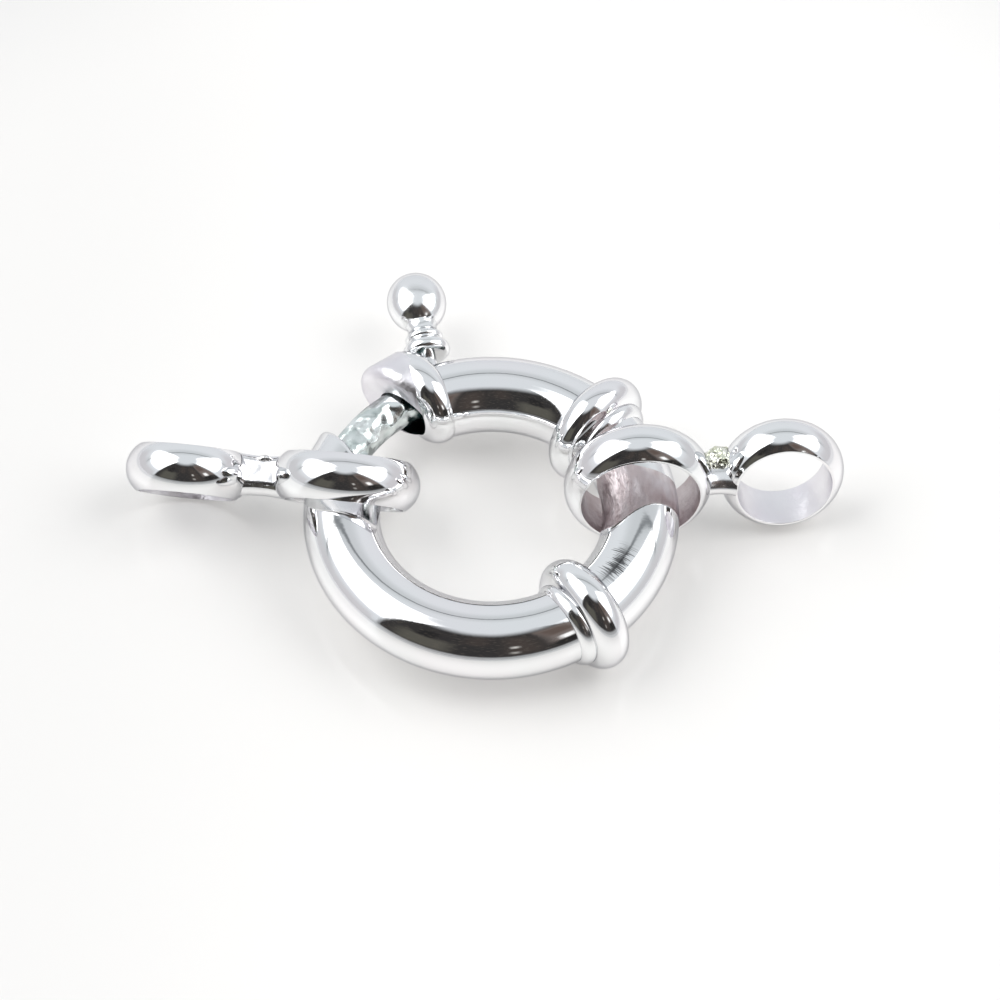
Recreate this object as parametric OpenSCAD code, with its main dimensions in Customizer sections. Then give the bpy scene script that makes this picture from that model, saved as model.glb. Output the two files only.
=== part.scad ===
// Spring ring clasp: a hollow ring with a sprung curved bolt, its trigger knob and two captive figure-eight end links.
// It lies on a table: +Z is up, the ring's plane is level and the origin is the ring's centre.
// Angles round the ring are counter-clockwise from +X, seen from above.

/* [Ring] */
// Outside diameter of the ring
ring_d = 14; // [13:0.5:16]
// Outside diameter of the ring's tube
tube_d = 2.86; // [2.7:0.02:2.9]
// Wall of the tube
tube_wall = 0.18; // [0.15:0.01:0.2]
// Place of the stop inside the tube that carries the spring, in degrees
stop_at = 19; // [10:1:26]
// Thickness of the stop
stop_t = 0.3; // [0.2:0.05:0.6]

/* [Collars] */
// Outside diameter of a collar's round bead
collar_d = 4.44; // [4.2:0.02:4.6]
// Diameter of the wire that a bead is made of
bead_wire_d = 1.44; // [1.2:0.02:1.5]
// Place of the back collar, in degrees
back_collar_at = 45; // [40:1:52]
// Place of the front collar, in degrees
front_collar_at = -52.5; // [-65:0.5:-40]
// Outside diameter of the low lip beside a bead
lip_d = 3.74; // [3.4:0.02:3.9]
// Width of the low lip
lip_w = 0.44; // [0.3:0.02:0.5]
// How far the low lip runs into its bead
lip_sink = 0.08; // [0.06:0.01:0.12]

/* [Guide cap] */
// Place of the cap's bead, in degrees
cap_at = 115.8; // [115.4:0.1:118]
// How far the middle of the bead lies outside of the tube's centre line
cap_out = 0.53; // [0.45:0.01:0.6]
// Turn of the cap towards the middle of the ring, in degrees
cap_turn = 9.2; // [6:0.2:10]
// Outside diameter of the bead
cap_bead_d = 3.9; // [3.7:0.02:3.9]
// Diameter of the bead's wire
cap_wire_d = 1.4; // [1.2:0.02:1.42]
// Outside diameter of the cap's nose
nose_d = 3.14; // [2.9:0.02:3.3]
// Length of the nose from the middle of the bead
nose_l = 1.35; // [1.1:0.05:1.45]
// How far the nose lies outside of the bead's middle
nose_out = 0.38; // [0.3:0.02:0.42]
// Edge radius of the nose
nose_edge_r = 0.5; // [0.3:0.05:0.55]
// Diameter of the bolt's hole in the nose
nose_hole_d = 1.96; // [1.8:0.02:2]
// How far the hole lies outside of the bolt's path
nose_hole_out = 0.14; // [0.05:0.01:0.15]
// Length of the tube past the middle of the bead
cap_seat = 0.15; // [0.1:0.05:0.3]

/* [Receiving end] */
// Place of the end of the tube where the bolt goes in, in degrees
gap_end = 155.5; // [155:0.5:158]
// Outside diameter of the lip
mouth_d = 3.08; // [3:0.02:3.1]
// Width of the lip
mouth_w = 0.5; // [0.48:0.02:0.6]
// How far the lip lies outside of the tube's centre line
mouth_out = 0.28; // [0.2:0.02:0.3]
// Edge radius of the lip
mouth_edge_r = 0.2; // [0.1:0.05:0.22]

/* [Bolt and trigger] */
// Diameter of the bolt
bolt_d = 1.46; // [1.2:0.02:1.48]
// How far the bolt runs outside of the tube's centre line
bolt_out = 0.46; // [0.3:0.01:0.48]
// Gap between the bolt and the hole at the receiving end, all round
bolt_play = 0.12; // [0.08:0.01:0.14]
// Turn of the bolt about the ring's centre from closed to open, in degrees
travel = 36; // [34:1:38]
// Length of the bolt's tip inside the receiving end, in degrees
tip_in = 6; // [4:0.5:6.5]
// Place of the trigger on the tube's centre line, in degrees
trigger_at = 111.5; // [109:0.5:111.5]
// Lean of the trigger away from the gap, in degrees
trigger_lean = 11.4; // [11:0.2:14]
// Length of the bolt behind the trigger, in degrees
bolt_behind = 9; // [6:0.5:12]
// Diameter of the trigger's peg
peg_d = 0.62; // [0.5:0.02:0.66]
// Depth of the peg in the bolt below the bolt's centre line
peg_below = 0.28; // [0.1:0.02:0.4]
// Gap between the peg and its hole
peg_gap = 0.025; // [0.02:0.005:0.04]
// Diameter of the trigger's flange
flange_d = 1.8; // [1.4:0.05:1.8]
// Distance from the tube's centre line to the outside of the flange
flange_top = 2.77; // [2.77:0.01:2.9]
// Thickness of the flange
flange_t = 0.59; // [0.5:0.01:0.6]
// Edge radius of the flange
flange_edge_r = 0.28; // [0.2:0.01:0.29]
// Diameter of the neck below the ball
neck_d = 1.3; // [0.9:0.02:1.3]
// Diameter of the ball
ball_d = 2.3; // [2:0.05:2.5]
// Distance from the tube's centre line to the ball's centre
ball_at = 5.03; // [4.6:0.05:5.4]
// Play between the trigger's peg and the sides of its slot
slot_play = 0.08; // [0.05:0.01:0.12]

/* [Spring] */
// Diameter of the spring's wire
spring_wire_d = 0.24; // [0.2:0.02:0.26]
// Middle diameter of the spring's coils
spring_d = 1.5; // [1.3:0.05:1.6]
// Number of coils
coils = 12; // [10:1:14]
// Gap at each end of the spring
spring_gap = 0.05; // [0.04:0.01:0.1]

/* [End links] */
// Inside diameter of the loop that holds the ring's tube
big_loop_bore = 4.44; // [4.4:0.02:4.5]
// Inside diameter of the free loop
small_loop_bore = 3.56; // [3.2:0.02:3.8]
// Thickness of a loop's band at its middle
band_t = 0.56; // [0.5:0.02:0.6]
// Width of the band
band_w = 1.8; // [1.6:0.05:1.85]
// Radius of the band's domed outside, across its width
dome_r = 1.1; // [1:0.05:1.4]
// Diameter of the soldered neck between two loops
neck_bar_d = 1.05; // [0.9:0.05:1.2]
// Diameter of the solder bead round the neck
solder_d = 1.24; // [1.1:0.02:1.3]

/* [Left end link] */
// Place of its big loop round the tube, in degrees
left_at = 166.5; // [165:0.5:167]
// Lean of the left link's top towards the front, in degrees
left_lean = 31; // [30:0.5:31.5]
// Length of the left link's neck
left_neck = 0.9; // [0.6:0.05:1.1]
// Turn of the left link's length from the X axis, in degrees
left_turn = -6.7; // [-9:0.1:-2]

/* [Right end link] */
// Place of its big loop round the tube, in degrees
right_at = 10.8; // [4:0.2:12]
// Lean of the right link's big loop to the back, in degrees
right_lean = 5; // [0:1:6]
// Further lean of its free loop, in degrees
right_twist = 7; // [0:1:10]
// Length of the right link's neck
right_neck = 0.38; // [0.3:0.02:0.6]
// Turn of the right link's length from the X axis, in degrees
right_turn = 8.6; // [4:0.2:10]
// Turn of each of its loops from the X axis, in degrees
right_loop_turn = 5; // [2:0.5:8]

/* [Hidden] */
$fn = 96;
silver = "#d9dade";
steel = "#9aa19f";

tube_r = tube_d / 2;
ring_r = ring_d / 2 - tube_r;
bore_r = tube_r - tube_wall;
bolt_r = bolt_d / 2;
bolt_path_r = ring_r + bolt_out;
table_z = -collar_d / 2;

tube_end = cap_at + deg_of(cap_seat);
mouth_at = gap_end + deg_of(mouth_w / 2);
tube_start = gap_end + deg_of(mouth_edge_r);
// How far cuts run on, in degrees: out of an open face, and into the bore
cut_over = 6;
cut_seam = 1;

bolt_rear = trigger_at - bolt_behind;
bolt_tip = gap_end + tip_in;
peg_r = peg_d / 2;
slot_side = peg_r + slot_play;
slot_from = peg_angle(tube_r) - travel - deg_of(slot_side, ring_r + tube_r);
slot_to = peg_angle(bore_r) + deg_of(slot_side, ring_r + bore_r);

stop_deg = deg_of(stop_t);
spring_out = bolt_out / 2;
spring_from = stop_at + stop_deg / 2 + deg_of(spring_gap + spring_wire_d / 2);
spring_to = bolt_rear - deg_of(spring_gap + spring_wire_d / 2);
coil_steps = 12;
wire_sides = 6;

// Angle that a length takes round a circle about the ring's centre
function deg_of(length, r = ring_r) = length / r * 180 / PI;

// Place round the ring of the point of the trigger's axis at a distance from the tube's centre line
function peg_angle(dist) =
    trigger_at - atan(dist * sin(trigger_lean) / (ring_r + dist * cos(trigger_lean)));

// Height of a loop's centre when it stands on the table with a lean
function rest_z(loop_r, lean) = table_z + (loop_r - dome_r) * cos(lean) + dome_r;

// Puts a thing whose axis is Z on the tube's centre line, pointing counter-clockwise round the ring
module on_ring(angle, out = 0)
    rotate([0, 0, angle]) translate([ring_r + out, 0, 0]) rotate([-90, 0, 0]) children();

// Round bar bent round the ring's centre
module arc_bar(path_r, r, from, to)
    rotate([0, 0, from]) rotate_extrude(angle = to - from) translate([path_r, 0]) circle(r);

// Solid disc with rounded edges, from z = low to z = high. An edge on the low side is rounded only if both is true.
module soft_disc(r, low, high, edge_r, both = false) {
    rotate_extrude() {
        translate([0, low]) square([r - edge_r, high - low]);
        translate([0, both ? low + edge_r : low]) square([r, high - low - (both ? 2 : 1) * edge_r]);
        translate([r - edge_r, high - edge_r]) circle(edge_r, $fn = 48);
        if (both) translate([r - edge_r, low + edge_r]) circle(edge_r, $fn = 48);
    }
}

// Bead of round wire
module bead(d, wire_d)
    rotate_extrude() translate([d / 2 - wire_d / 2, 0]) circle(d = wire_d);

// Bead with its low lip on the clockwise side. The lip's foot is in the middle of the tube's wall.
module collar() {
    foot_r = (bore_r + tube_r) / 2;
    crest_r = lip_d / 2 - lip_w / 2;
    lip_z = lip_sink - bead_wire_d / 2 - lip_w / 2;
    bead(collar_d, bead_wire_d);
    rotate_extrude() {
        translate([foot_r, lip_z - lip_w / 2]) square([crest_r - foot_r, lip_w]);
        translate([crest_r, lip_z]) circle(d = lip_w, $fn = 48);
    }
}

// Cap with its bead and its nose, which is set off outwards and ends round
module guide_cap() {
    on_ring(cap_at, cap_out) rotate([0, -cap_turn, 0]) {
        bead(cap_bead_d, cap_wire_d);
        translate([nose_out, 0, 0]) soft_disc(nose_d / 2, 0, nose_l, nose_edge_r);
    }
}

module receiving_lip()
    on_ring(mouth_at, mouth_out) soft_disc(mouth_d / 2, -mouth_w / 2, mouth_w / 2, mouth_edge_r, both = true);

module ring_body() {
    color(silver) difference() {
        union() {
            arc_bar(ring_r, tube_r, tube_start, 360 + tube_end);
            on_ring(back_collar_at) collar();
            on_ring(front_collar_at) collar();
            guide_cap();
            receiving_lip();
        }
        arc_bar(ring_r, bore_r, stop_at + stop_deg / 2, cap_at);
        arc_bar(ring_r, bore_r, mouth_at, 360 + stop_at - stop_deg / 2);
        arc_bar(bolt_path_r + nose_hole_out, nose_hole_d / 2, cap_at - cut_seam, cap_at + deg_of(nose_l) + cut_over);
        arc_bar(bolt_path_r, bolt_r + bolt_play, gap_end - cut_over, mouth_at + cut_seam);
        rotate([0, 0, slot_from]) rotate_extrude(angle = slot_to - slot_from)
            translate([ring_r + bore_r / 2, -slot_side]) square([tube_r + slot_play - bore_r / 2, 2 * slot_side]);
    }
}

// Puts a thing whose axis is Z on the trigger's axis, with z = 0 on the tube's centre line
module on_trigger()
    rotate([0, 0, trigger_at]) translate([ring_r, 0, 0]) rotate([0, 0, -trigger_lean]) rotate([0, 90, 0]) children();

module bolt() {
    color(steel) difference() {
        arc_bar(bolt_path_r, bolt_r, bolt_rear, bolt_tip);
        on_trigger() translate([0, 0, bolt_out - peg_below - peg_gap]) cylinder(h = bolt_d, r = peg_r + peg_gap);
    }
}

module trigger_knob() {
    flange_low = flange_top - flange_t;
    color(silver) on_trigger() {
        translate([0, 0, bolt_out - peg_below]) cylinder(h = flange_low + flange_t / 2 - bolt_out + peg_below, r = peg_r);
        soft_disc(flange_d / 2, flange_low, flange_top, flange_edge_r, both = true);
        translate([0, 0, flange_low + flange_t / 2]) cylinder(h = ball_at - flange_low - flange_t / 2, d = neck_d);
        translate([0, 0, ball_at]) sphere(d = ball_d);
    }
}

// Point on the spring wire's skin: step counts round the coils, side round the wire
function spring_point(step, side) = let(
    turn = step / coil_steps,
    ring_angle = spring_from + (spring_to - spring_from) * turn / coils,
    coil_angle = 360 * turn,
    wire_angle = 360 * side / wire_sides,
    off = spring_d / 2 + spring_wire_d / 2 * cos(wire_angle),
    radius = ring_r + spring_out + off * cos(coil_angle),
    along = deg_of(spring_wire_d / 2 * sin(wire_angle)))
    [radius * cos(ring_angle + along), radius * sin(ring_angle + along), off * sin(coil_angle)];

module spring() {
    steps = coils * coil_steps;
    points = [for (i = [0 : steps]) for (k = [0 : wire_sides - 1]) spring_point(i, k)];
    sides = [for (i = [0 : steps - 1]) for (k = [0 : wire_sides - 1])
        let(n = (k + 1) % wire_sides, a = i * wire_sides, b = a + wire_sides) [a + k, b + k, b + n, a + n]];
    first = [for (k = [0 : wire_sides - 1]) k];
    last = [for (k = [wire_sides - 1 : -1 : 0]) steps * wire_sides + k];
    color(steel) polyhedron(points, concat(sides, [first, last]));
}

// Loop of D-section band whose axis is Z
module band_loop(bore_d) {
    outer_r = bore_d / 2 + band_t;
    rotate_extrude() intersection() {
        translate([outer_r - dome_r, 0]) circle(dome_r);
        translate([bore_d / 2, -band_w / 2]) square([band_t, band_w]);
    }
}

// Turns Z to the direction of v
module point_along(v) rotate([0, acos(v.z / norm(v)), atan2(v.y, v.x)]) children();

// Round bar between two points
module bar(p, q, d) translate(p) point_along(q - p) cylinder(h = norm(q - p), d = d);

// Stands a loop at a point, with its axis to the front, turned about Z and leaning towards the front.
// Its seam is at the top, away from the neck.
module stand_loop(at, turn, lean, bore_d)
    translate(at) rotate([0, 0, turn]) rotate([90 + lean, 0, 0]) rotate([0, 0, 90]) band_loop(bore_d);

// End link: a big loop round the tube, a small free loop on the side that dir points to, and the neck between them.
// Both loops stand on the table.
module end_link(at, dir, loop_turn, big_lean, small_lean, neck) {
    big_r = big_loop_bore / 2 + band_t;
    small_r = small_loop_bore / 2 + band_t;
    big_c = [ring_r * cos(at), ring_r * sin(at), rest_z(big_r, big_lean)];
    drop = rest_z(big_r, big_lean) - rest_z(small_r, small_lean);
    reach = sqrt(pow(big_r + small_r + neck, 2) - drop * drop);
    small_c = big_c + [reach * cos(dir), reach * sin(dir), -drop];
    along = (small_c - big_c) / norm(small_c - big_c);
    neck_from = big_c + along * (big_r - band_t / 2);
    neck_to = small_c - along * (small_r - band_t / 2);
    stand_loop(big_c, loop_turn, big_lean, big_loop_bore);
    stand_loop(small_c, loop_turn, small_lean, small_loop_bore);
    bar(neck_from, neck_to, neck_bar_d);
    translate(big_c + along * (big_r + neck / 2)) point_along(along) sphere(d = solder_d, $fn = 48);
}

module left_eight()
    color(silver) end_link(left_at, 180 + left_turn, left_turn, left_lean, left_lean, left_neck);

module right_eight()
    color(silver) end_link(right_at, right_turn, right_loop_turn, -right_lean, -right_lean - right_twist, right_neck);

ring_body();
bolt();
trigger_knob();
spring();
left_eight();
right_eight();
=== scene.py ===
# %% [markdown]
# # A spring ring clasp on a white table
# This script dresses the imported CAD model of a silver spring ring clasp. A mirror has no colour of its own:
# what we see on polished silver is the room. So most of the work is in two places, the smoothness of the
# surfaces and the light tent that they reflect.

# %% The frame
import math
import bmesh
import bpy
from mathutils import Matrix, Vector


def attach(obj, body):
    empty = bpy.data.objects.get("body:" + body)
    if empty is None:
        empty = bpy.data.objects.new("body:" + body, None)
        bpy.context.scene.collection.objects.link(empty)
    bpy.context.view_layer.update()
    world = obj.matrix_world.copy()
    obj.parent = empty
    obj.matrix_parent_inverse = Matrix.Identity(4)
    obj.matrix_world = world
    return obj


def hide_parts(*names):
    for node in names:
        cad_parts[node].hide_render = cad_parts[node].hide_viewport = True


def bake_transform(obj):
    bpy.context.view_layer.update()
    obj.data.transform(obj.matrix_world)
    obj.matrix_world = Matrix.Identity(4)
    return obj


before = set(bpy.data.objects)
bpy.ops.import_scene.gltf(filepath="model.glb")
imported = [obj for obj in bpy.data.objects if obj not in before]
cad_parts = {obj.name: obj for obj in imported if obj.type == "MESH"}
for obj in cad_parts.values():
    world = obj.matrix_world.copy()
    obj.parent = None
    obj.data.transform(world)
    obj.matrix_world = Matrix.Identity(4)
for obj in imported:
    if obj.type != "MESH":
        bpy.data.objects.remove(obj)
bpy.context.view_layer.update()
MM = 0.001
print("CAD nodes:", sorted(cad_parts))

# %% [markdown]
# ## The camera
# The photograph looks down at the clasp with a long lens from close by. The ring's centre is the middle of
# the frame of axes, so the camera only has to look at it, and a small shift puts it where the photograph
# has it.

# %% Camera
CAMERA_ELEVATION = math.radians(55.4)
CAMERA_DISTANCE = 141 * MM
camera_data = bpy.data.cameras.new("camera")
camera_data.lens = 136.3
camera_data.sensor_width = 36
camera_data.shift_x = 0.0087
camera_data.shift_y = 0.0147
camera_data.clip_start = 0.005
camera_data.clip_end = 20
camera = bpy.data.objects.new("camera", camera_data)
bpy.context.scene.collection.objects.link(camera)
camera_height = math.sin(CAMERA_ELEVATION) * CAMERA_DISTANCE
camera.location = (0, -math.cos(CAMERA_ELEVATION) * CAMERA_DISTANCE, camera_height)
camera.rotation_euler = (math.pi / 2 - CAMERA_ELEVATION, 0, 0)
bpy.context.scene.camera = camera
bpy.context.scene.view_settings.view_transform = "Standard"
print("camera at", tuple(round(c / MM, 1) for c in camera.location), "mm")


# %% [markdown]
# ## Shader maths as Python
# Procedural finishes and the light tent are sums of masks. Wiring Math nodes by hand hides the formula, so
# a small class wraps one output socket, and plain arithmetic on it adds the nodes. Colours are mixed by
# their own helper, because a Math node would turn them grey.

# %% Shader maths
IN_DEGREES = 180 / math.pi


class Wire:
    """One output socket of a node. Arithmetic on it adds Math nodes to its tree."""

    def __init__(self, tree, socket):
        self.tree = tree
        self.socket = socket

    def math(self, operation, *others, first=True):
        """The result of a Math node. first is False where this wire comes after the others."""
        inputs = (self,) + others if first else others + (self,)
        return add_node(self.tree, "ShaderNodeMath", {"operation": operation}, dict(enumerate(inputs)))

    def __add__(self, other):
        return self.math("ADD", other)

    def __radd__(self, other):
        return self.math("ADD", other)

    def __sub__(self, other):
        return self.math("SUBTRACT", other)

    def __rsub__(self, other):
        return self.math("SUBTRACT", other, first=False)

    def __mul__(self, other):
        return self.math("MULTIPLY", other)

    def __rmul__(self, other):
        return self.math("MULTIPLY", other)

    def __truediv__(self, other):
        return self.math("DIVIDE", other)

    def __rtruediv__(self, other):
        return self.math("DIVIDE", other, first=False)

    def step(self, low, high):
        """0 below low and 1 above high, smooth between; turned round where low is the larger."""
        levels = {1: low, 2: high, 3: 0.0, 4: 1.0}
        if low >= high:
            levels = {1: high, 2: low, 3: 1.0, 4: 0.0}
        settings = {"interpolation_type": "SMOOTHSTEP"}
        return add_node(self.tree, "ShaderNodeMapRange", settings, {0: self, **levels})


def add_node(tree, kind, settings=None, inputs=None, output=0):
    """Adds a node, sets it up, and gives its sockets values or links. Returns one output as a Wire."""
    node = tree.nodes.new(kind)
    for name, value in (settings or {}).items():
        setattr(node, name, value)
    for key, value in (inputs or {}).items():
        if isinstance(value, Wire):
            tree.links.new(value.socket, node.inputs[key])
        else:
            node.inputs[key].default_value = value
    return Wire(tree, node.outputs[output])


def mix_colour(tree, factor, a, b):
    """Colour a where factor is 0, and b where it is 1."""
    a = (*a, 1) if isinstance(a, tuple) else a
    b = (*b, 1) if isinstance(b, tuple) else b
    return add_node(tree, "ShaderNodeMix", {"data_type": "RGBA"}, {0: factor, 6: a, 7: b}, output=2)


def split(vector, count=3):
    """The first numbers of a vector, X before Y before Z, as Wires."""
    return [add_node(vector.tree, "ShaderNodeSeparateXYZ", None, {0: vector}, output=i) for i in range(count)]


def from_axis(x, y):
    """How far a place is from the Z axis."""
    return (x * x + y * y).math("SQRT")


def angle_of(a, b):
    """The angle whose tangent is a / b, in degrees, all the way round."""
    return a.math("ARCTAN2", b) * IN_DEGREES


def srgb(*levels):
    """Levels of 0 to 255, as a picture shows them, as the linear light that a shader works with."""
    def linear(v):
        v /= 255
        return v / 12.92 if v <= 0.04045 else ((v + 0.055) / 1.055) ** 2.4
    return tuple(linear(v) for v in levels)


# %% [markdown]
# ## The light tent
# Small jewellery is photographed inside a white cloth tent with a lamp at either side. The camera looks in
# through an open front, and the dark room behind it is the dark patch on every rounded top. Area lamps and
# cards round the clasp could do this too, but a world background drawn by angle, height above the table and
# turn from the camera's side, puts each patch exactly where the photograph's reflections ask for it, in
# every view.

# %% What the light tent shows
CLOTH_LOW = srgb(226, 229, 233)
CLOTH_HIGH = srgb(221, 225, 229)
CLOTH_BACK = srgb(196, 200, 203)
CLOTH_SIDE = srgb(206, 205, 208)
SEAM_LINE = srgb(92, 96, 100)
TABLE_EDGE = srgb(140, 139, 138)
LAMP = (3.4, 3.4, 3.4)
ROOM = srgb(44, 42, 42)
CLUTTER = srgb(96, 90, 82)
# Things in the room: left, right, low and high edge in degrees, softness of the edges, and colour
ROOM_THINGS = (
    (8, 26, 10, 62, 9, srgb(66, 58, 54)),
    (-16, -2, 40, 66, 7, srgb(60, 53, 50)),
    (-50, -22, 8, 37, 6, srgb(84, 82, 75)),
    (-44, -32, 36, 54, 3, srgb(30, 28, 28)),
    (32, 62, 22, 66, 5, srgb(120, 110, 106)),
    (34, 52, 44, 62, 4, srgb(96, 82, 76)),
    (34, 52, 10, 24, 4, srgb(26, 24, 24)),
    (38, 46, 25, 35, 3, (1.2, 1.2, 1.2)),
    (11, 15, 30, 36, 2, (0.6, 0.58, 0.55)),
    (10, 14, 14, 20, 2, (0.4, 0.38, 0.36)),
)


# %% Light tent
def window(value, low, high, soft):
    """1 between low and high, with soft ends."""
    return value.step(low - soft, low + soft) * value.step(high + soft, high - soft)


def light_tent():
    """The world background, as a colour for each direction. Angles are in degrees."""
    world = bpy.data.worlds.new("light tent")
    bpy.context.scene.world = world
    world.use_nodes = True
    tree = world.node_tree
    tree.nodes.clear()
    look = add_node(tree, "ShaderNodeTexCoord", output=0)
    look = add_node(tree, "ShaderNodeVectorMath", {"operation": "NORMALIZE"}, {0: look})
    x, y, z = split(look)
    height = z.math("ARCSINE") * IN_DEGREES
    # 0 towards the camera's side, positive to the right
    side = angle_of(x, y * -1)
    away = side.math("ABSOLUTE")

    colour = mix_colour(tree, height.step(5, 80), CLOTH_LOW, CLOTH_HIGH)
    # The seam between the back wall and the ceiling is a straight rod behind the clasp
    seam = y.math("MAXIMUM", 0.001) * 1.6 / from_axis(x, y)
    off = height - seam.math("ARCTANGENT") * IN_DEGREES
    colour = mix_colour(tree, off.step(-22, -3) * off.step(14, 0) * 0.75, colour, CLOTH_BACK)
    # Side lamps behind the cloth, and the darker cloth below them
    right_lamp = window(side, 66, 122, 6) * window(height, 28, 66, 6)
    left_lamp = window(side, -138, -61, 7) * window(height, 30, 72, 8)
    low_side = (side.step(60, 70) + side.step(-60, -66)) * height.step(24, 10) * away.step(150, 125)
    colour = mix_colour(tree, low_side.math("MINIMUM", 1.0) * 0.9, colour, CLOTH_SIDE)
    colour = mix_colour(tree, right_lamp, colour, LAMP)
    colour = mix_colour(tree, left_lamp, colour, LAMP)
    # The open front with the dark room
    front = away.step(61, 57) * height.step(1, 8) * height.step(80, 64)
    room = ROOM
    for left, right, low, high, soft, shade in ROOM_THINGS:
        thing = window(side, left, right, soft) * window(height, low, high, soft)
        room = mix_colour(tree, thing, room, shade)
    clutter = add_node(tree, "ShaderNodeCombineXYZ", None, {0: side * 0.1, 1: height * 0.09})
    clutter = add_node(tree, "ShaderNodeTexNoise", None, {"Vector": clutter, "Scale": 3.0, "Detail": 4.0})
    room = mix_colour(tree, clutter.step(0.5, 0.72) * 0.45, room, CLUTTER)
    colour = mix_colour(tree, front * 0.985, colour, room)
    # The table's front edge, and the seam's own dark line
    colour = mix_colour(tree, away.step(70, 50) * window(height, -12, 4, 6) * 0.8, colour, TABLE_EDGE)
    line = window(off, -1.3, 1.3, 0.9) * away.step(98, 108)
    colour = mix_colour(tree, line * 0.75, colour, SEAM_LINE)
    background = add_node(tree, "ShaderNodeBackground", None, {"Color": colour, "Strength": 1.0})
    output = tree.nodes.new("ShaderNodeOutputWorld")
    tree.links.new(background.socket, output.inputs["Surface"])
    print("light tent:", len(tree.nodes), "nodes")


light_tent()


# %% [markdown]
# ## Modelling by hand
# Nearly all of this clasp is round: wires bent to rings, beads, bands and a turned knob. Each begins as a
# circle or a cylinder, is cut to its section in edit mode, and is then spun round its own axis. A few small
# helpers keep the steps short. Every piece is made at the origin with its axis along Z, and then put in its
# place in one move that is applied to the mesh, so that its object stays at the origin.

# %% Helpers for edit mode
def choose(piece):
    """Selects one object alone and makes it the active one."""
    bpy.ops.object.select_all(action="DESELECT")
    piece.select_set(True)
    bpy.context.view_layer.objects.active = piece


def open_piece(piece):
    """Opens one object in edit mode with all of it selected."""
    choose(piece)
    bpy.ops.object.mode_set(mode="EDIT")
    bpy.ops.mesh.select_all(action="SELECT")


def close_piece():
    """Leaves edit mode."""
    bpy.ops.object.mode_set(mode="OBJECT")


def pick(piece, test, kind="VERT"):
    """Selects the vertices or faces whose place passes the test, in an opened piece."""
    bpy.ops.mesh.select_mode(type=kind)
    bpy.ops.mesh.select_all(action="DESELECT")
    bpy.ops.object.mode_set(mode="OBJECT")
    if kind == "VERT":
        for vertex in piece.data.vertices:
            vertex.select = test(vertex.co)
    else:
        for face in piece.data.polygons:
            face.select = test(face.center)
    bpy.ops.object.mode_set(mode="EDIT")


def upright_circle(name, radius, points, at=(0, 0), half_step=False):
    """A circle in the XZ plane, the start of a section. at is its place along X and Z, in millimetres."""
    bpy.ops.object.select_all(action="DESELECT")
    turn = (math.pi / 2, math.pi / points if half_step else 0, 0)
    bpy.ops.mesh.primitive_circle_add(vertices=points, radius=radius * MM, rotation=turn,
                                      location=(at[0] * MM, 0, at[1] * MM))
    piece = bpy.context.object
    piece.name = name
    bpy.ops.object.transform_apply(location=True, rotation=True, scale=True)
    open_piece(piece)
    return piece


# A plane counts points this near as lying on it. The usual 0.1 mm is far too coarse for jewellery
THIN = 1e-9


def cut_away(point, normal, close=False):
    """Cuts all of the opened piece with a plane and throws away the side that the normal points to."""
    bpy.ops.mesh.select_all(action="SELECT")
    bpy.ops.mesh.bisect(plane_co=[c * MM for c in point], plane_no=normal, clear_outer=True, threshold=THIN)
    if close:
        bpy.ops.mesh.edge_face_add()


def turn_outwards(piece):
    """Turns all faces outwards. A bent rod can fool Blender's own test, so the volume's sign decides."""
    bpy.ops.mesh.select_all(action="SELECT")
    bpy.ops.mesh.normals_make_consistent(inside=False)
    if bmesh.from_edit_mesh(piece.data).calc_volume(signed=True) < 0:
        bpy.ops.mesh.flip_normals()


def tidy_surface():
    """Closes the seam where a spin meets its own start, and turns all faces outwards."""
    bpy.ops.mesh.select_all(action="SELECT")
    bpy.ops.mesh.remove_doubles(threshold=1e-7)
    bpy.ops.mesh.normals_make_consistent(inside=False)


def lathe(steps):
    """Spins the opened section once round the Z axis."""
    bpy.ops.mesh.select_all(action="SELECT")
    bpy.ops.mesh.spin(steps=steps, angle=2 * math.pi, center=(0, 0, 0), axis=(0, 0, 1))
    tidy_surface()


# %% Helpers for finished pieces
def apply_modifier(piece, kind, **settings):
    """Adds a modifier with its settings and applies it at once."""
    choose(piece)
    modifier = piece.modifiers.new(kind.lower(), kind)
    for name, value in settings.items():
        setattr(modifier, name, value)
    bpy.ops.object.modifier_apply(modifier=modifier.name)


def settle(piece, matrix):
    """Moves a piece to its place and applies that to its mesh, so that its object stays at the origin."""
    if bpy.context.object and bpy.context.object.mode == "EDIT":
        close_piece()
    choose(piece)
    piece.matrix_world = matrix
    bpy.ops.object.transform_apply(location=True, rotation=True, scale=True)


def place(piece, matrix, sharp=40):
    """Puts a finished piece in its place, and shades it smooth up to an angle."""
    settle(piece, matrix)
    bpy.ops.object.shade_smooth_by_angle(angle=math.radians(sharp))
    sides = " x ".join(f"{side / MM:.2f}" for side in piece.dimensions)
    print(piece.name, len(piece.data.polygons), "faces,", sides, "mm")
    return piece


def cut_out(piece, *cutters):
    """Takes each cutter's shape out of the piece, and removes the cutters."""
    for cutter in cutters:
        apply_modifier(piece, "BOOLEAN", operation="DIFFERENCE", solver="EXACT", object=cutter)
    for cutter in cutters:
        bpy.data.objects.remove(cutter)


# %% [markdown]
# ## Sizes and places
# The new pieces must sit where the CAD solids sit, so the sizes are those of the part's source. Most places
# are an angle on the ring, and on_ring gives a frame of axes there that looks along the tube.

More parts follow.
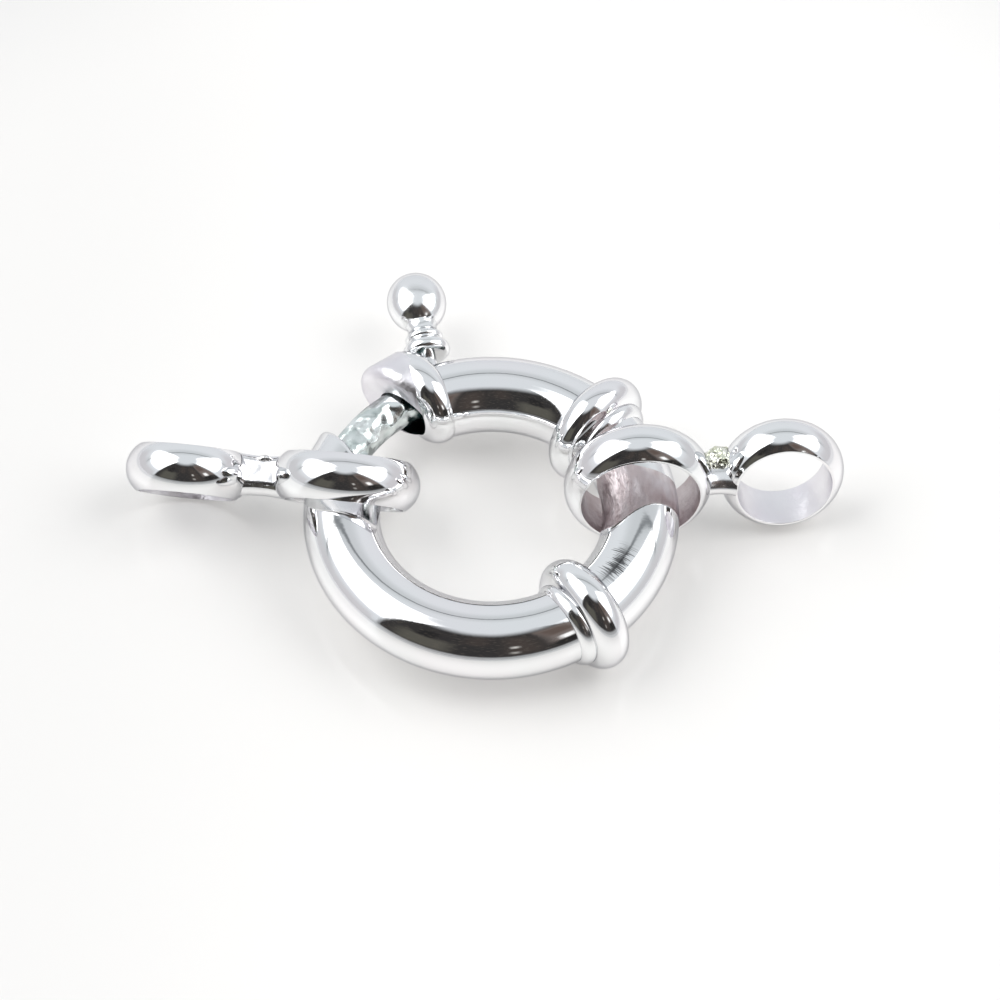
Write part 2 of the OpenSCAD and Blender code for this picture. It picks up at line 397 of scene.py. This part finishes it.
# %% Sizes from the CAD part, in millimetres and degrees
TUBE_R = 1.43
RING_R = 5.57
WALL = 0.18
BOLT_R = 0.73
BOLT_PATH_R = RING_R + 0.46
GAP_END = 155.5
CAP_AT = 115.8
TRIGGER_AT = 111.5
SLOT_FROM = 69.99
SLOT_TO = 112.69
SLOT_HALF_WIDTH = 0.39
TABLE_LEVEL = -2.22


def turned(degrees, axis="Z"):
    """A turn about an axis."""
    return Matrix.Rotation(math.radians(degrees), 4, axis)


def moved(x, y, z):
    """A move, in millimetres."""
    return Matrix.Translation((x * MM, y * MM, z * MM))


def on_ring(angle, out=0):
    """A place on the tube's middle line, with Z along the tube, counter-clockwise."""
    return turned(angle) @ moved(RING_R + out, 0, 0) @ turned(-90, "X")


def degrees_of(length):
    """A length along the tube's middle line, as an angle on the ring."""
    return math.degrees(length / RING_R)


def bent_bar(name, path_r, radius, start, end, points=64, steps=60):
    """A round bar bent about the ring's centre, closed at both ends."""
    piece = upright_circle(name, radius, points, (path_r, 0))
    bpy.ops.mesh.edge_face_add()
    settle(piece, turned(start))
    open_piece(piece)
    bpy.ops.mesh.spin(steps=steps, angle=math.radians(end - start), center=(0, 0, 0), axis=(0, 0, -1))
    turn_outwards(piece)
    close_piece()
    return piece


# %% [markdown]
# ## The tube
# The ring is a thin-walled silver tube, bent round and left open at the bolt's gap. A torus primitive would
# have to be cut open and hollowed, so instead a circle is spun round the ring's centre, in three stretches:
# the middle one starts and ends where the trigger's slot does, so that the slot is simply faces left out. A
# Solidify modifier then gives the wall its thickness.

# %% The tube
def make_tube():
    """The tube, as three stretches of one spin, with the slot's faces left out."""
    tube_from = GAP_END + degrees_of(0.85)
    tube_to = 360 + CAP_AT + degrees_of(0.15)
    stations = [tube_from, 360 + SLOT_FROM, 360 + SLOT_TO, tube_to]
    tube = upright_circle("ring_tube", TUBE_R, 80, (RING_R, 0), half_step=True)
    settle(tube, turned(tube_from))
    open_piece(tube)
    for here, there in zip(stations, stations[1:]):
        steps = max(4, round((there - here) / 1.1))
        bpy.ops.mesh.spin(steps=steps, angle=math.radians(there - here), center=(0, 0, 0), axis=(0, 0, -1))

    def in_slot(c):
        angle = math.degrees(math.atan2(c.y, c.x))
        return SLOT_FROM < angle < SLOT_TO and abs(c.z) < SLOT_HALF_WIDTH * MM and c.xy.length > RING_R * MM

    bpy.ops.mesh.select_all(action="SELECT")
    bpy.ops.mesh.normals_make_consistent(inside=False)
    pick(tube, in_slot, "FACE")
    bpy.ops.mesh.delete(type="FACE")
    close_piece()
    apply_modifier(tube, "SOLIDIFY", thickness=WALL * MM, offset=-1)
    return place(tube, Matrix.Identity(4))


ring_tube = make_tube()


# %% [markdown]
# ## The collars
# Two round wires are soldered on the tube as decoration and as end stops for the end links. Each is a full
# bead with a smaller, softer one beside it. Spinning the wire's section round the tube keeps its
# reflections clean, which a bead sculpted from the tube would not.

# %% The collars
def make_bead(name, crest_r, wire_r, spot, inner_r=1.34, z=0.0, steps=160):
    """A round wire bent to a ring on the tube. What would lie inside the tube's wall is cut away."""
    bead = upright_circle(name, wire_r, 72, (crest_r, z))
    cut_away((inner_r, 0, 0), (-1, 0, 0), close=True)
    lathe(steps)
    return place(bead, spot)


collar_pieces = []
for name, at in (("back_collar", 45), ("front_collar", -52.5)):
    collar_pieces.append(make_bead(name, 1.5, 0.72, on_ring(at)))
    collar_pieces.append(make_bead(name + "_lip", 1.21, 0.44, on_ring(at), z=-0.74))


# %% [markdown]
# ## The guide cap
# Where the bolt comes out, the real tube ends in a cap: a bead and a nose with a slanted, rounded end, and a
# wide hole for the bolt. Bead and nose are made plain first, a spun ring and a rounded cylinder that one
# bisect slants. The bore and the hole are then cut through both at once, because a boolean keeps their edges
# together better than modelling each edge alone. A small bevel breaks the cut edges, and the faces deep in
# the hole get painted shade: a dark colour of their own.

# %% The guide cap
def give_faces(piece, index, test):
    """Gives the faces that pass the test the material of that place in the piece's list."""
    open_piece(piece)
    pick(piece, test, "FACE")
    close_piece()
    for face in piece.data.polygons:
        if face.select:
            face.material_index = index


def round_edges(piece, width, segments, angle):
    """Breaks all edges that are sharper than an angle in degrees."""
    apply_modifier(piece, "BEVEL", width=width * MM, segments=segments, limit_method="ANGLE",
                   angle_limit=math.radians(angle))


def rounded_disc(name, radius, low, high, edge_r):
    """A disc from low to high, whose top rim is rounded by a bevel."""
    bpy.ops.object.select_all(action="DESELECT")
    bpy.ops.mesh.primitive_cylinder_add(vertices=160, radius=radius * MM, depth=(high - low) * MM,
                                        location=(0, 0, (high + low) / 2 * MM))
    piece = bpy.context.object
    piece.name = name
    bpy.ops.object.transform_apply(location=True, rotation=True, scale=True)
    open_piece(piece)
    pick(piece, lambda c: c.z > (high - 0.01) * MM)
    bpy.ops.mesh.bevel(offset=edge_r * MM, segments=14, affect="EDGES")
    close_piece()
    return piece


CAP_LEAN = 9.2
CAP_SLANT = 16.9
NOSE_R = 1.66
NOSE_EDGE_R = 0.5
HOLE_R = 1.09
# The hole gets painted shade from this depth down, at its outer side and at its inner side
SHADE_OUTER = 0.45
SHADE_INNER = 0.1


def make_cap():
    """The cap's bead and nose, which lean outwards a little, with the bore and the hole cut through both."""
    spot = on_ring(CAP_AT, 0.47) @ turned(-CAP_LEAN, "Y")
    bead = upright_circle("cap_bead", 0.7, 72, (1.3, 0))
    lathe(160)
    bpy.ops.transform.resize(value=(1, 0.87, 1), center_override=(0, 0, 0))
    place(bead, spot)
    slant = math.radians(CAP_SLANT)
    slant_face = (-math.sin(slant), 0, math.cos(slant))
    nose = rounded_disc("cap_nose", NOSE_R, 0, 2.4, 0.01)
    open_piece(nose)
    bpy.ops.transform.translate(value=(0.38 * MM, 0, 0))
    bpy.ops.mesh.bisect(plane_co=(-0.08 * MM, 0, 1.07 * MM), plane_no=slant_face, clear_outer=True,
                        use_fill=True, threshold=THIN)
    bpy.ops.mesh.bevel(offset=NOSE_EDGE_R * MM, segments=20, affect="EDGES")
    place(nose, spot)
    hole_axis = spot @ moved(-0.19, 0.13, 1.06) @ turned(-CAP_SLANT, "Y")
    from_hole = hole_axis.inverted()

    def in_shade(c):
        c = from_hole @ c
        depth = SHADE_OUTER if c.x > 0.1 * MM else SHADE_INNER
        return c.xy.length < (HOLE_R + 0.002) * MM and c.z < -depth * MM

    for piece in (bead, nose):
        bore = bent_bar("bore_cutter", RING_R, TUBE_R - 0.09, CAP_AT - 30, CAP_AT, steps=24)
        hole = rounded_disc("hole_cutter", HOLE_R, -1.2, 2.0, 0.01)
        open_piece(hole)
        for depth in (SHADE_OUTER, SHADE_INNER):
            bpy.ops.mesh.select_all(action="SELECT")
            bpy.ops.mesh.bisect(plane_co=(0, 0, -depth * MM), plane_no=(0, 0, 1), threshold=THIN)
        place(hole, hole_axis)
        cut_out(piece, bore, hole)
        round_edges(piece, 0.04, 3, 50)
        place(piece, Matrix.Identity(4), sharp=35)
        give_faces(piece, 1, in_shade)
    return [bead, nose]


cap_pieces = make_cap()


# %% [markdown]
# ## The receiving end
# On the other side of the gap the bolt goes into a short sleeve. Its end is slanted like the nose's, which
# leaves a little arch standing at the outer side. It is a cylinder cut by a slanted plane, with its rim
# rounded, and bored on the bolt's own curve.

# %% The receiving end
SLEEVE_R = 1.46
SLEEVE_EDGE_R = 0.28
MOUTH_SLANT = 27
BOLT_PLAY = 0.12


def make_mouth():
    """The sleeve that takes the bolt's tip."""
    sleeve = rounded_disc("mouth_lip", SLEEVE_R, -1.4, 1.5, 0.2)
    slant = math.radians(MOUTH_SLANT)
    slant_face = (-math.sin(slant), 0, -math.cos(slant))
    open_piece(sleeve)
    bpy.ops.transform.translate(value=(0.28 * MM, 0, 0))
    bpy.ops.mesh.bisect(plane_co=(0, 0, 0.27 * MM), plane_no=slant_face, clear_outer=True,
                        use_fill=True, threshold=THIN)
    bpy.ops.mesh.bevel(offset=SLEEVE_EDGE_R * MM, segments=12, affect="EDGES")
    place(sleeve, on_ring(GAP_END))
    cutter = bent_bar("mouth_cutter", BOLT_PATH_R, BOLT_R + BOLT_PLAY, GAP_END - 14, GAP_END + 8,
                      points=96, steps=24)
    cut_out(sleeve, cutter)
    return place(sleeve, Matrix.Identity(4), sharp=35)


mouth_lip = make_mouth()


# %% [markdown]
# ## The bolt
# The bolt is a round rod on the ring's own curve, so it is a disc spun about the ring's centre, with its
# tip rounded by a bevel. It hides in the tube when the trigger is pulled back. A straight rod bent by a
# modifier would do too, but its curve would not be exactly the one that it slides on.

# %% The bolt
def make_bolt():
    """The rod, from behind the trigger into the receiving end. The spin leaves its tip selected."""
    rear = TRIGGER_AT - 9
    tip = GAP_END + 6
    bolt = upright_circle("bolt_rod", BOLT_R, 72, (BOLT_PATH_R, 0))
    bpy.ops.mesh.edge_face_add()
    settle(bolt, turned(rear))
    open_piece(bolt)
    bpy.ops.mesh.spin(steps=110, angle=math.radians(tip - rear), center=(0, 0, 0), axis=(0, 0, -1))
    bpy.ops.mesh.bevel(offset=0.3 * MM, segments=8, affect="EDGES")
    turn_outwards(bolt)
    return place(bolt, Matrix.Identity(4))


bolt_rod = make_bolt()


# %% [markdown]
# ## The trigger knob
# A jeweller turns this on a lathe: ball, hollow neck, small ring, flange and peg. The same is done here.
# Half of a circle is the ball, the rest of the outline is extruded from its lower end point by point, and
# one spin turns it. The real ball is a little long and a little flat, so it is stretched before the cut,
# and all is squashed at the end.

# %% The trigger knob
def arc_points(centre, radius, start, end, count):
    """Points on an arc, from one angle to another, in degrees, without the first."""
    angles = [math.radians(start + (end - start) * i / count) for i in range(1, count + 1)]
    return [(centre[0] + radius * math.cos(a), centre[1] + radius * math.sin(a)) for a in angles]


def draw_on(points, last):
    """Extrudes the selected end of a section from point to point, as (x, z) in millimetres."""
    for x, z in points:
        step = ((x - last[0]) * MM, 0, (z - last[1]) * MM)
        bpy.ops.mesh.extrude_region_move(TRANSFORM_OT_translate={"value": step})
        last = (x, z)


def make_knob():
    """The turned knob, from its ball down to the peg that sits in the bolt."""
    ball_z = 4.86
    ball_r = 1.15
    stretch = 1.12
    squash = 0.84
    waist_r = 0.6
    meet_z = ball_z - stretch * math.sqrt(ball_r ** 2 - waist_r ** 2)
    knob = upright_circle("knob", ball_r, 128, (0, ball_z))
    bpy.ops.transform.resize(value=(1, 1, stretch), center_override=(0, 0, ball_z * MM))
    cut_away((0, 0, 0), (-1, 0, 0))
    cut_away((0, 0, meet_z), (0, 0, -1))
    pick(knob, lambda c: c.z < (meet_z + 0.001) * MM and c.x > 0.1 * MM)
    neck = arc_points((1.06, 3.5), 0.5, 152, 212, 12) + arc_points((0.56, 3.06), 0.17, 50, -80, 10)
    flange = [(0.56, 2.84)] + arc_points((0.62, 2.49), 0.28, 90, -90, 20)
    peg = [(0.31, 2.21), (0.31, 0.18), (0, 0.18)]
    draw_on(neck + flange + peg, (waist_r, meet_z))
    lathe(128)
    bpy.ops.transform.resize(value=(squash, 1, 1), center_override=(0, 0, 0))
    trigger = turned(TRIGGER_AT) @ moved(RING_R, 0, 0) @ turned(-11.4) @ turned(90, "Y")
    return place(knob, trigger, sharp=50)


knob = make_knob()


# %% [markdown]
# ## The end links
# Each end link is two loops of half-round band, a big one on the tube and a small one for the chain. The
# band's section is a circle cut flat at both sides and inside, spun round. The loops' places follow from
# their sizes: each one stands on the table with its lean, and the distance between them leaves room for the
# solder.

# %% The end links
BAND_T = 0.56
BAND_W = 1.8
DOME_R = 1.1
BIG_BORE_R = 2.22
SMALL_BORE_R = 1.78


def rest_z(loop_r, lean):
    """Height of a loop's centre when it stands on the table with a lean."""
    return TABLE_LEVEL + (loop_r - DOME_R) * math.cos(math.radians(lean)) + DOME_R


def make_loop(name, bore_r, matrix):
    """One loop of half-round band. The faces of its bore get a finish of their own."""
    outer = bore_r + BAND_T
    loop = upright_circle(name, DOME_R, 120, (outer - DOME_R, 0))
    cut_away((0, 0, BAND_W / 2), (0, 0, 1), close=True)
    cut_away((0, 0, -BAND_W / 2), (0, 0, -1), close=True)
    cut_away((bore_r, 0, 0), (-1, 0, 0), close=True)
    lathe(180)
    close_piece()
    round_edges(loop, 0.06, 4, 25)
    give_faces(loop, 1, lambda c: c.xy.length < (bore_r + 0.01) * MM)
    return place(loop, matrix, sharp=35)


def make_link(side, at, direction, loop_turn, big_lean, small_lean, neck):
    """Both loops of an end link, the way from the big one to the small one, and the middle between them."""
    big_r = BIG_BORE_R + BAND_T
    small_r = SMALL_BORE_R + BAND_T
    where = math.radians(at)
    big = Vector((RING_R * math.cos(where), RING_R * math.sin(where), rest_z(big_r, big_lean)))
    drop = rest_z(big_r, big_lean) - rest_z(small_r, small_lean)
    reach = math.sqrt((big_r + small_r + neck) ** 2 - drop ** 2)
    way = math.radians(direction)
    small = big + Vector((reach * math.cos(way), reach * math.sin(way), -drop))
    loops = []
    for name, bore_r, centre, lean in (("_big_loop", BIG_BORE_R, big, big_lean),
                                       ("_small_loop", SMALL_BORE_R, small, small_lean)):
        stand = moved(*centre) @ turned(loop_turn) @ turned(90 + lean, "X")
        loops.append(make_loop(side + name, bore_r, stand))
    along = (small - big).normalized()
    return loops, along, big + along * (big_r + neck / 2)


left_loops, left_along, left_middle = make_link(
    "left", at=166.5, direction=180 - 6.7, loop_turn=-6.7, big_lean=31, small_lean=31, neck=0.9)
right_loops, right_along, right_middle = make_link(
    "right", at=10.8, direction=8.6, loop_turn=5, big_lean=-5, small_lean=-12, neck=0.38)


# %% [markdown]
# ## The solder between the loops
# The loops of a link are joined by a bridge of metal, and the right one shows a rough drop of yellowish
# solder. The bridge is a disc extruded and resized step by step, so that it is waisted, with a flat facet
# where the real one was filed. The drop is a ball pushed in and out by a cloud texture, because solder has
# no outline to draw.

# %% Bridges and drops of solder
def set_along(piece, middle, along, axis):
    """Puts a piece between two loops: Z towards the small loop, Y along the loops' axis."""
    x = axis.cross(along).normalized()
    turn = Matrix((x, axis, along)).transposed().to_4x4()
    return place(piece, moved(*middle) @ turn)


def make_web(name, link, size, flare, facet=None):
    """A waisted bridge between two loops. size is its thickness, width across the band and half length.

    flare is how much wider its ends are, and facet is the place and the tilt in degrees of a filed flat.
    """
    middle, along, axis = link
    thickness, width, half_length = size
    bpy.ops.object.select_all(action="DESELECT")
    bpy.ops.mesh.primitive_circle_add(vertices=96, radius=MM * (1 + flare), fill_type="NGON")
    piece = bpy.context.object
    piece.name = name
    open_piece(piece)
    steps = 24
    step = (0, 0, 2 * half_length * MM / steps)
    widths = [1 + flare * (2 * i / steps - 1) ** 2 for i in range(steps + 1)]
    for before, after in zip(widths, widths[1:]):
        bpy.ops.mesh.extrude_region_move(TRANSFORM_OT_translate={"value": step})
        bpy.ops.transform.resize(value=(after / before, after / before, 1), center_override=(0, 0, 0))
    bpy.ops.mesh.select_all(action="SELECT")
    bpy.ops.transform.translate(value=(0, 0, -half_length * MM))
    bpy.ops.transform.resize(value=(thickness, width, 1), center_override=(0, 0, 0))
    if facet:
        x, tilt = facet
        tilt = math.radians(tilt)
        cut_away((x, 0, 0), (math.copysign(math.cos(tilt), x), math.sin(tilt), 0), close=True)
        bpy.ops.mesh.bevel(offset=0.16 * MM, segments=8, affect="EDGES")
    tidy_surface()
    close_piece()
    return set_along(piece, middle, along, axis)


def make_drop(name, link, size, rough, shift):
    """A rough drop of solder: a ball drawn out and made uneven by a cloud texture."""
    middle, along, axis = link
    bpy.ops.object.select_all(action="DESELECT")
    bpy.ops.mesh.primitive_ico_sphere_add(subdivisions=6, radius=MM)
    piece = bpy.context.object
    piece.name = name
    open_piece(piece)
    bpy.ops.transform.resize(value=size, center_override=(0, 0, 0))
    bpy.ops.transform.translate(value=[c * MM for c in shift])
    close_piece()
    lumps = bpy.data.textures.new(name + "_lumps", "CLOUDS")
    lumps.noise_scale = 0.28 * MM
    lumps.noise_depth = 3
    apply_modifier(piece, "DISPLACE", texture=lumps, texture_coords="LOCAL", strength=rough * MM,
                   mid_level=0.5)
    return set_along(piece, middle, along, axis)


def loop_axis(loop_turn, lean):
    """The way that a link's loops look along."""
    return (turned(loop_turn) @ turned(90 + lean, "X")).to_3x3() @ Vector((0, 0, -1))


left_link = (left_middle, left_along, loop_axis(-6.7, 31))
right_link = (right_middle, right_along, loop_axis(5, -8.5))
left_solder = [
    make_web("left_neck", left_link, (0.58, 0.74, 0.95), flare=0.1, facet=(0.44, 14)),
    make_drop("left_solder", left_link, (0.1, 0.12, 0.32), rough=0.08, shift=(0.26, 0.64, -0.1)),
]
right_solder = [
    make_web("right_neck", right_link, (0.5, 0.72, 0.66), flare=0.15),
    make_drop("right_solder", right_link, (0.44, 0.54, 0.62), rough=0.2, shift=(-0.42, 0.52, 0.2)),
]


# %% [markdown]
# ## The spring
# The coil spring lies hidden in the tube and pushes the bolt shut. Its turns are in the CAD solid already, as
# flat facets, so a copy of that is merged, turned back to quads and subdivided once, which rounds the wire.

# %% The spring
def make_coil():
    """A rounded copy of the CAD spring."""
    cad_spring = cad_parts["spring"]
    bpy.ops.object.select_all(action="DESELECT")
    coil = bpy.data.objects.new("spring_coil", cad_spring.data.copy())
    bpy.context.scene.collection.objects.link(coil)
    coil.data.transform(cad_spring.matrix_world)
    open_piece(coil)
    tidy_surface()
    bpy.ops.mesh.select_all(action="SELECT")
    bpy.ops.mesh.tris_convert_to_quads()
    close_piece()
    coil.data.materials.clear()
    apply_modifier(coil, "SUBSURF", levels=1, render_levels=1)
    return place(coil, Matrix.Identity(4), sharp=60)


spring_coil = make_coil()

# %% [markdown]
# ## What moves with what
# Only the bolt and its knob move, so they ride on the bolt unit, and everything else stays with the ring.
# The end links can swing by hand, but no joint drives them.

# %% Who rides where
for piece in [ring_tube, mouth_lip, *collar_pieces, *cap_pieces]:
    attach(piece, "ring")
for piece in [*left_loops, *left_solder, *right_loops, *right_solder]:
    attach(piece, "ring")
for piece, slot in ((bolt_rod, "bolt_metal"), (knob, "silver")):
    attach(piece, "bolt_unit")
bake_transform(spring_coil)
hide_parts("spring")
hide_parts("ring_body")
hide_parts("bolt")
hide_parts("trigger_knob")
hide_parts("left_eight")
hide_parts("right_eight")

# %% [markdown]
# ## The table
# The clasp lies on a white, slightly glossy card. It is lit by the tent, and a painted glow lifts it to the
# nearly white of the photograph without washing the soft shadows away. Further out, and to the left, its
# colour and its glow are a shade darker: painted shade.

# %% Table
bpy.ops.mesh.primitive_plane_add(size=1.2, location=(0, 0, TABLE_LEVEL * MM))
table = bpy.context.object
table.name = "table"
table_white = bpy.data.materials.new("table_white")
table_white.use_nodes = True
tree = table_white.node_tree
shader = tree.nodes["Principled BSDF"]
where = add_node(tree, "ShaderNodeTexCoord", output=3)
reach = add_node(tree, "ShaderNodeVectorMath", {"operation": "LENGTH"}, {0: where}, output=1)
# Painted shade: colour and glow a little darker further out and to the left
far_painted_shade = reach.step(0.027, 0.05)
left = split(where, 1)[0].step(-0.002, -0.018) * 0.1
cloth = mix_colour(tree, far_painted_shade, (0.70, 0.69, 0.675), (0.53, 0.54, 0.545))
tree.links.new(mix_colour(tree, left, cloth, (0.3, 0.3, 0.31)).socket, shader.inputs["Base Color"])
painted_glow = mix_colour(tree, far_painted_shade, (0.25, 0.249, 0.246), (0.15, 0.15, 0.153))
tree.links.new(mix_colour(tree, left, painted_glow, (0, 0, 0)).socket, shader.inputs["Emission Color"])
shader.inputs["Emission Strength"].default_value = 1
shader.inputs["Roughness"].default_value = 0.22
table.data.materials.append(table_white)
print("table at", TABLE_LEVEL, "mm")

# %% [markdown]
# ## Metal finishes
# All of the clasp is silver, but worked in different ways: polished outside, matt inside most loops, scuffed
# on the bolt where it rubs, rough at the solder. One function makes them all: two close tints in clouds, a
# polish that is uneven, and low waves that make the reflections waver. At a glancing angle the silver is a
# little darker, which draws its edge against the white table.

# %% Metal finishes
def hairline_dark_reflection(tree, where):
    """1 on the short hairlines that a cloth left across the tube beside the front collar: the mask of their
    painted dark reflection.
    """
    x, y = split(where, 2)
    angle = angle_of(y, x)
    out = from_axis(x, y) - RING_R * MM
    hairs = add_node(tree, "ShaderNodeCombineXYZ", None, {0: angle * 1.6, 1: out * 700})
    hairs = add_node(tree, "ShaderNodeTexNoise", None, {"Vector": hairs, "Scale": 1.0, "Detail": 2.0})
    reach = hairs.step(0.35, 0.7) * (0.55 * MM) - out.math("ABSOLUTE")
    return window(angle, -41, -27, 4) * reach.step(-0.04 * MM, 0.1 * MM)


def metal(name, tints, roughness, waves, size=3.0, painted_reflection=None):
    """A metal with two tints in clouds of a size, uneven polish, and waves, each as (size in mm, slope)."""
    material = bpy.data.materials.new(name)
    material.use_nodes = True
    tree = material.node_tree
    shader = tree.nodes["Principled BSDF"]
    shader.inputs["Metallic"].default_value = 1
    shader.inputs["Specular Tint"].default_value = (0.6, 0.6, 0.62, 1)
    where = add_node(tree, "ShaderNodeTexCoord", output=3)

    def noise(size, detail=2.0):
        inputs = {"Vector": where, "Scale": 1 / (size * MM), "Detail": detail}
        return add_node(tree, "ShaderNodeTexNoise", None, inputs)

    clouds = noise(size)
    colour = mix_colour(tree, clouds.step(0.35, 0.65), tints[0], tints[1])
    if painted_reflection:
        # A painted dark reflection, where the given mask says
        colour = mix_colour(tree, painted_reflection(tree, where) * 0.9, colour, (0.1, 0.1, 0.105))
    tree.links.new(colour.socket, shader.inputs["Base Color"])
    polish = noise(0.9, 3.0).step(0.3, 0.8) * (roughness[1] - roughness[0]) + roughness[0]
    tree.links.new(polish.socket, shader.inputs["Roughness"])
    height = None
    for length, slope in waves:
        wave = noise(length, 1.0) * (length * slope * MM)
        height = wave if height is None else height + wave
    bump = add_node(tree, "ShaderNodeBump", None, {"Strength": 1.0, "Distance": 1.0, "Height": height})
    tree.links.new(bump.socket, shader.inputs["Normal"])
    return material


# %% [markdown]
# ## The palette
# One material with many options would be hard to read, so each finish is one call with its own numbers: two
# tints, the range of its roughness, and its waves. The polished ones share their tints and waves and differ
# in polish.

# %% The palette
SILVER_TINTS = ((0.945, 0.935, 0.945), (0.93, 0.94, 0.942))
SILVER_WAVES = [(2.0, 0.003), (0.22, 0.004)]
# The matt inside of the right big loop: a painted pink reflection, in tints darker than the silver
SATIN_PINK_REFLECTION_TINTS = ((0.66, 0.575, 0.58), (0.80, 0.74, 0.75))
PALE_TINTS = ((0.86, 0.835, 0.875), (0.94, 0.93, 0.95))
# Painted shade for the deep faces of the cap's hole
PAINTED_SHADE_TINTS = ((0.02, 0.05, 0.052), (0.07, 0.11, 0.11))
ROD_TINTS = ((0.68, 0.75, 0.73), (0.90, 0.94, 0.93))
WHITE_SOLDER_TINTS = ((0.83, 0.82, 0.82), (0.95, 0.94, 0.94))
GOLD_SOLDER_TINTS = ((0.74, 0.77, 0.60), (0.95, 0.95, 0.86))
silver = metal("polished_silver", SILVER_TINTS, (0.03, 0.08), SILVER_WAVES)
tube_silver = metal("tube_silver", SILVER_TINTS, (0.03, 0.08), SILVER_WAVES, painted_reflection=hairline_dark_reflection)
soft_silver = metal("soft_silver", SILVER_TINTS, (0.11, 0.2), SILVER_WAVES)
neck_silver = metal("neck_silver", SILVER_TINTS, (0.12, 0.25), [(1.4, 0.03), (0.3, 0.03)])
satin = metal("satin_silver", SATIN_PINK_REFLECTION_TINTS, (0.3, 0.45), [(0.8, 0.08), (0.15, 0.1)], size=1.2)
satin_pale = metal("satin_pale", PALE_TINTS, (0.3, 0.45), [(0.8, 0.06), (0.15, 0.08)])
painted_shade_inside = metal("painted_shade_inside", PAINTED_SHADE_TINTS, (0.3, 0.5), [(0.4, 0.1)])
bolt_metal = metal("scuffed_rod", ROD_TINTS, (0.12, 0.28), [(1.2, 0.42), (0.5, 0.16)], size=0.8)
solder_white = metal("solder_white", WHITE_SOLDER_TINTS, (0.15, 0.35), [(0.3, 0.3)])
solder_gold = metal("solder_gold", GOLD_SOLDER_TINTS, (0.08, 0.25), [(0.3, 0.6)], size=0.3)
print("metals:", ", ".join(material.name for material in bpy.data.materials))


# %% [markdown]
# ## Who wears what
# A piece with two finishes has both in its list of materials, and its faces were given a place in that list
# when it was made. The places must not be lost, so the list is filled in place and never cleared.

# %% Who wears what
def finish(pieces, *materials):
    """Fills each piece's list of materials, and leaves its faces' places in that list alone."""
    for piece in pieces:
        while len(piece.data.materials) > len(materials):
            piece.data.materials.pop()
        while len(piece.data.materials) < len(materials):
            piece.data.materials.append(None)
        for index, material in enumerate(materials):
            piece.data.materials[index] = material


finish([mouth_lip, *collar_pieces[::2]], silver)
finish([ring_tube], tube_silver)
finish([knob, *collar_pieces[1::2]], soft_silver)
finish(cap_pieces[:1], silver, painted_shade_inside)
finish(cap_pieces[1:], satin_pale, painted_shade_inside)
finish(left_loops[:1], silver, soft_silver)
finish([left_loops[1], right_loops[1]], silver, satin_pale)
finish([right_loops[0]], silver, satin)
finish([bolt_rod, spring_coil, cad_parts["spring"]], bolt_metal)
finish([left_solder[0], right_solder[0]], neck_silver)
finish([left_solder[1]], solder_white)
finish([right_solder[1]], solder_gold)
for name in ("ring_body", "trigger_knob", "left_eight", "right_eight"):
    finish([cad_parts[name]], silver)
finish([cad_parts["bolt"]], bolt_metal)
# Mirrors that see each other need more bounces than usual
bpy.context.scene.cycles.glossy_bounces = 16
bpy.context.scene.cycles.max_bounces = 20
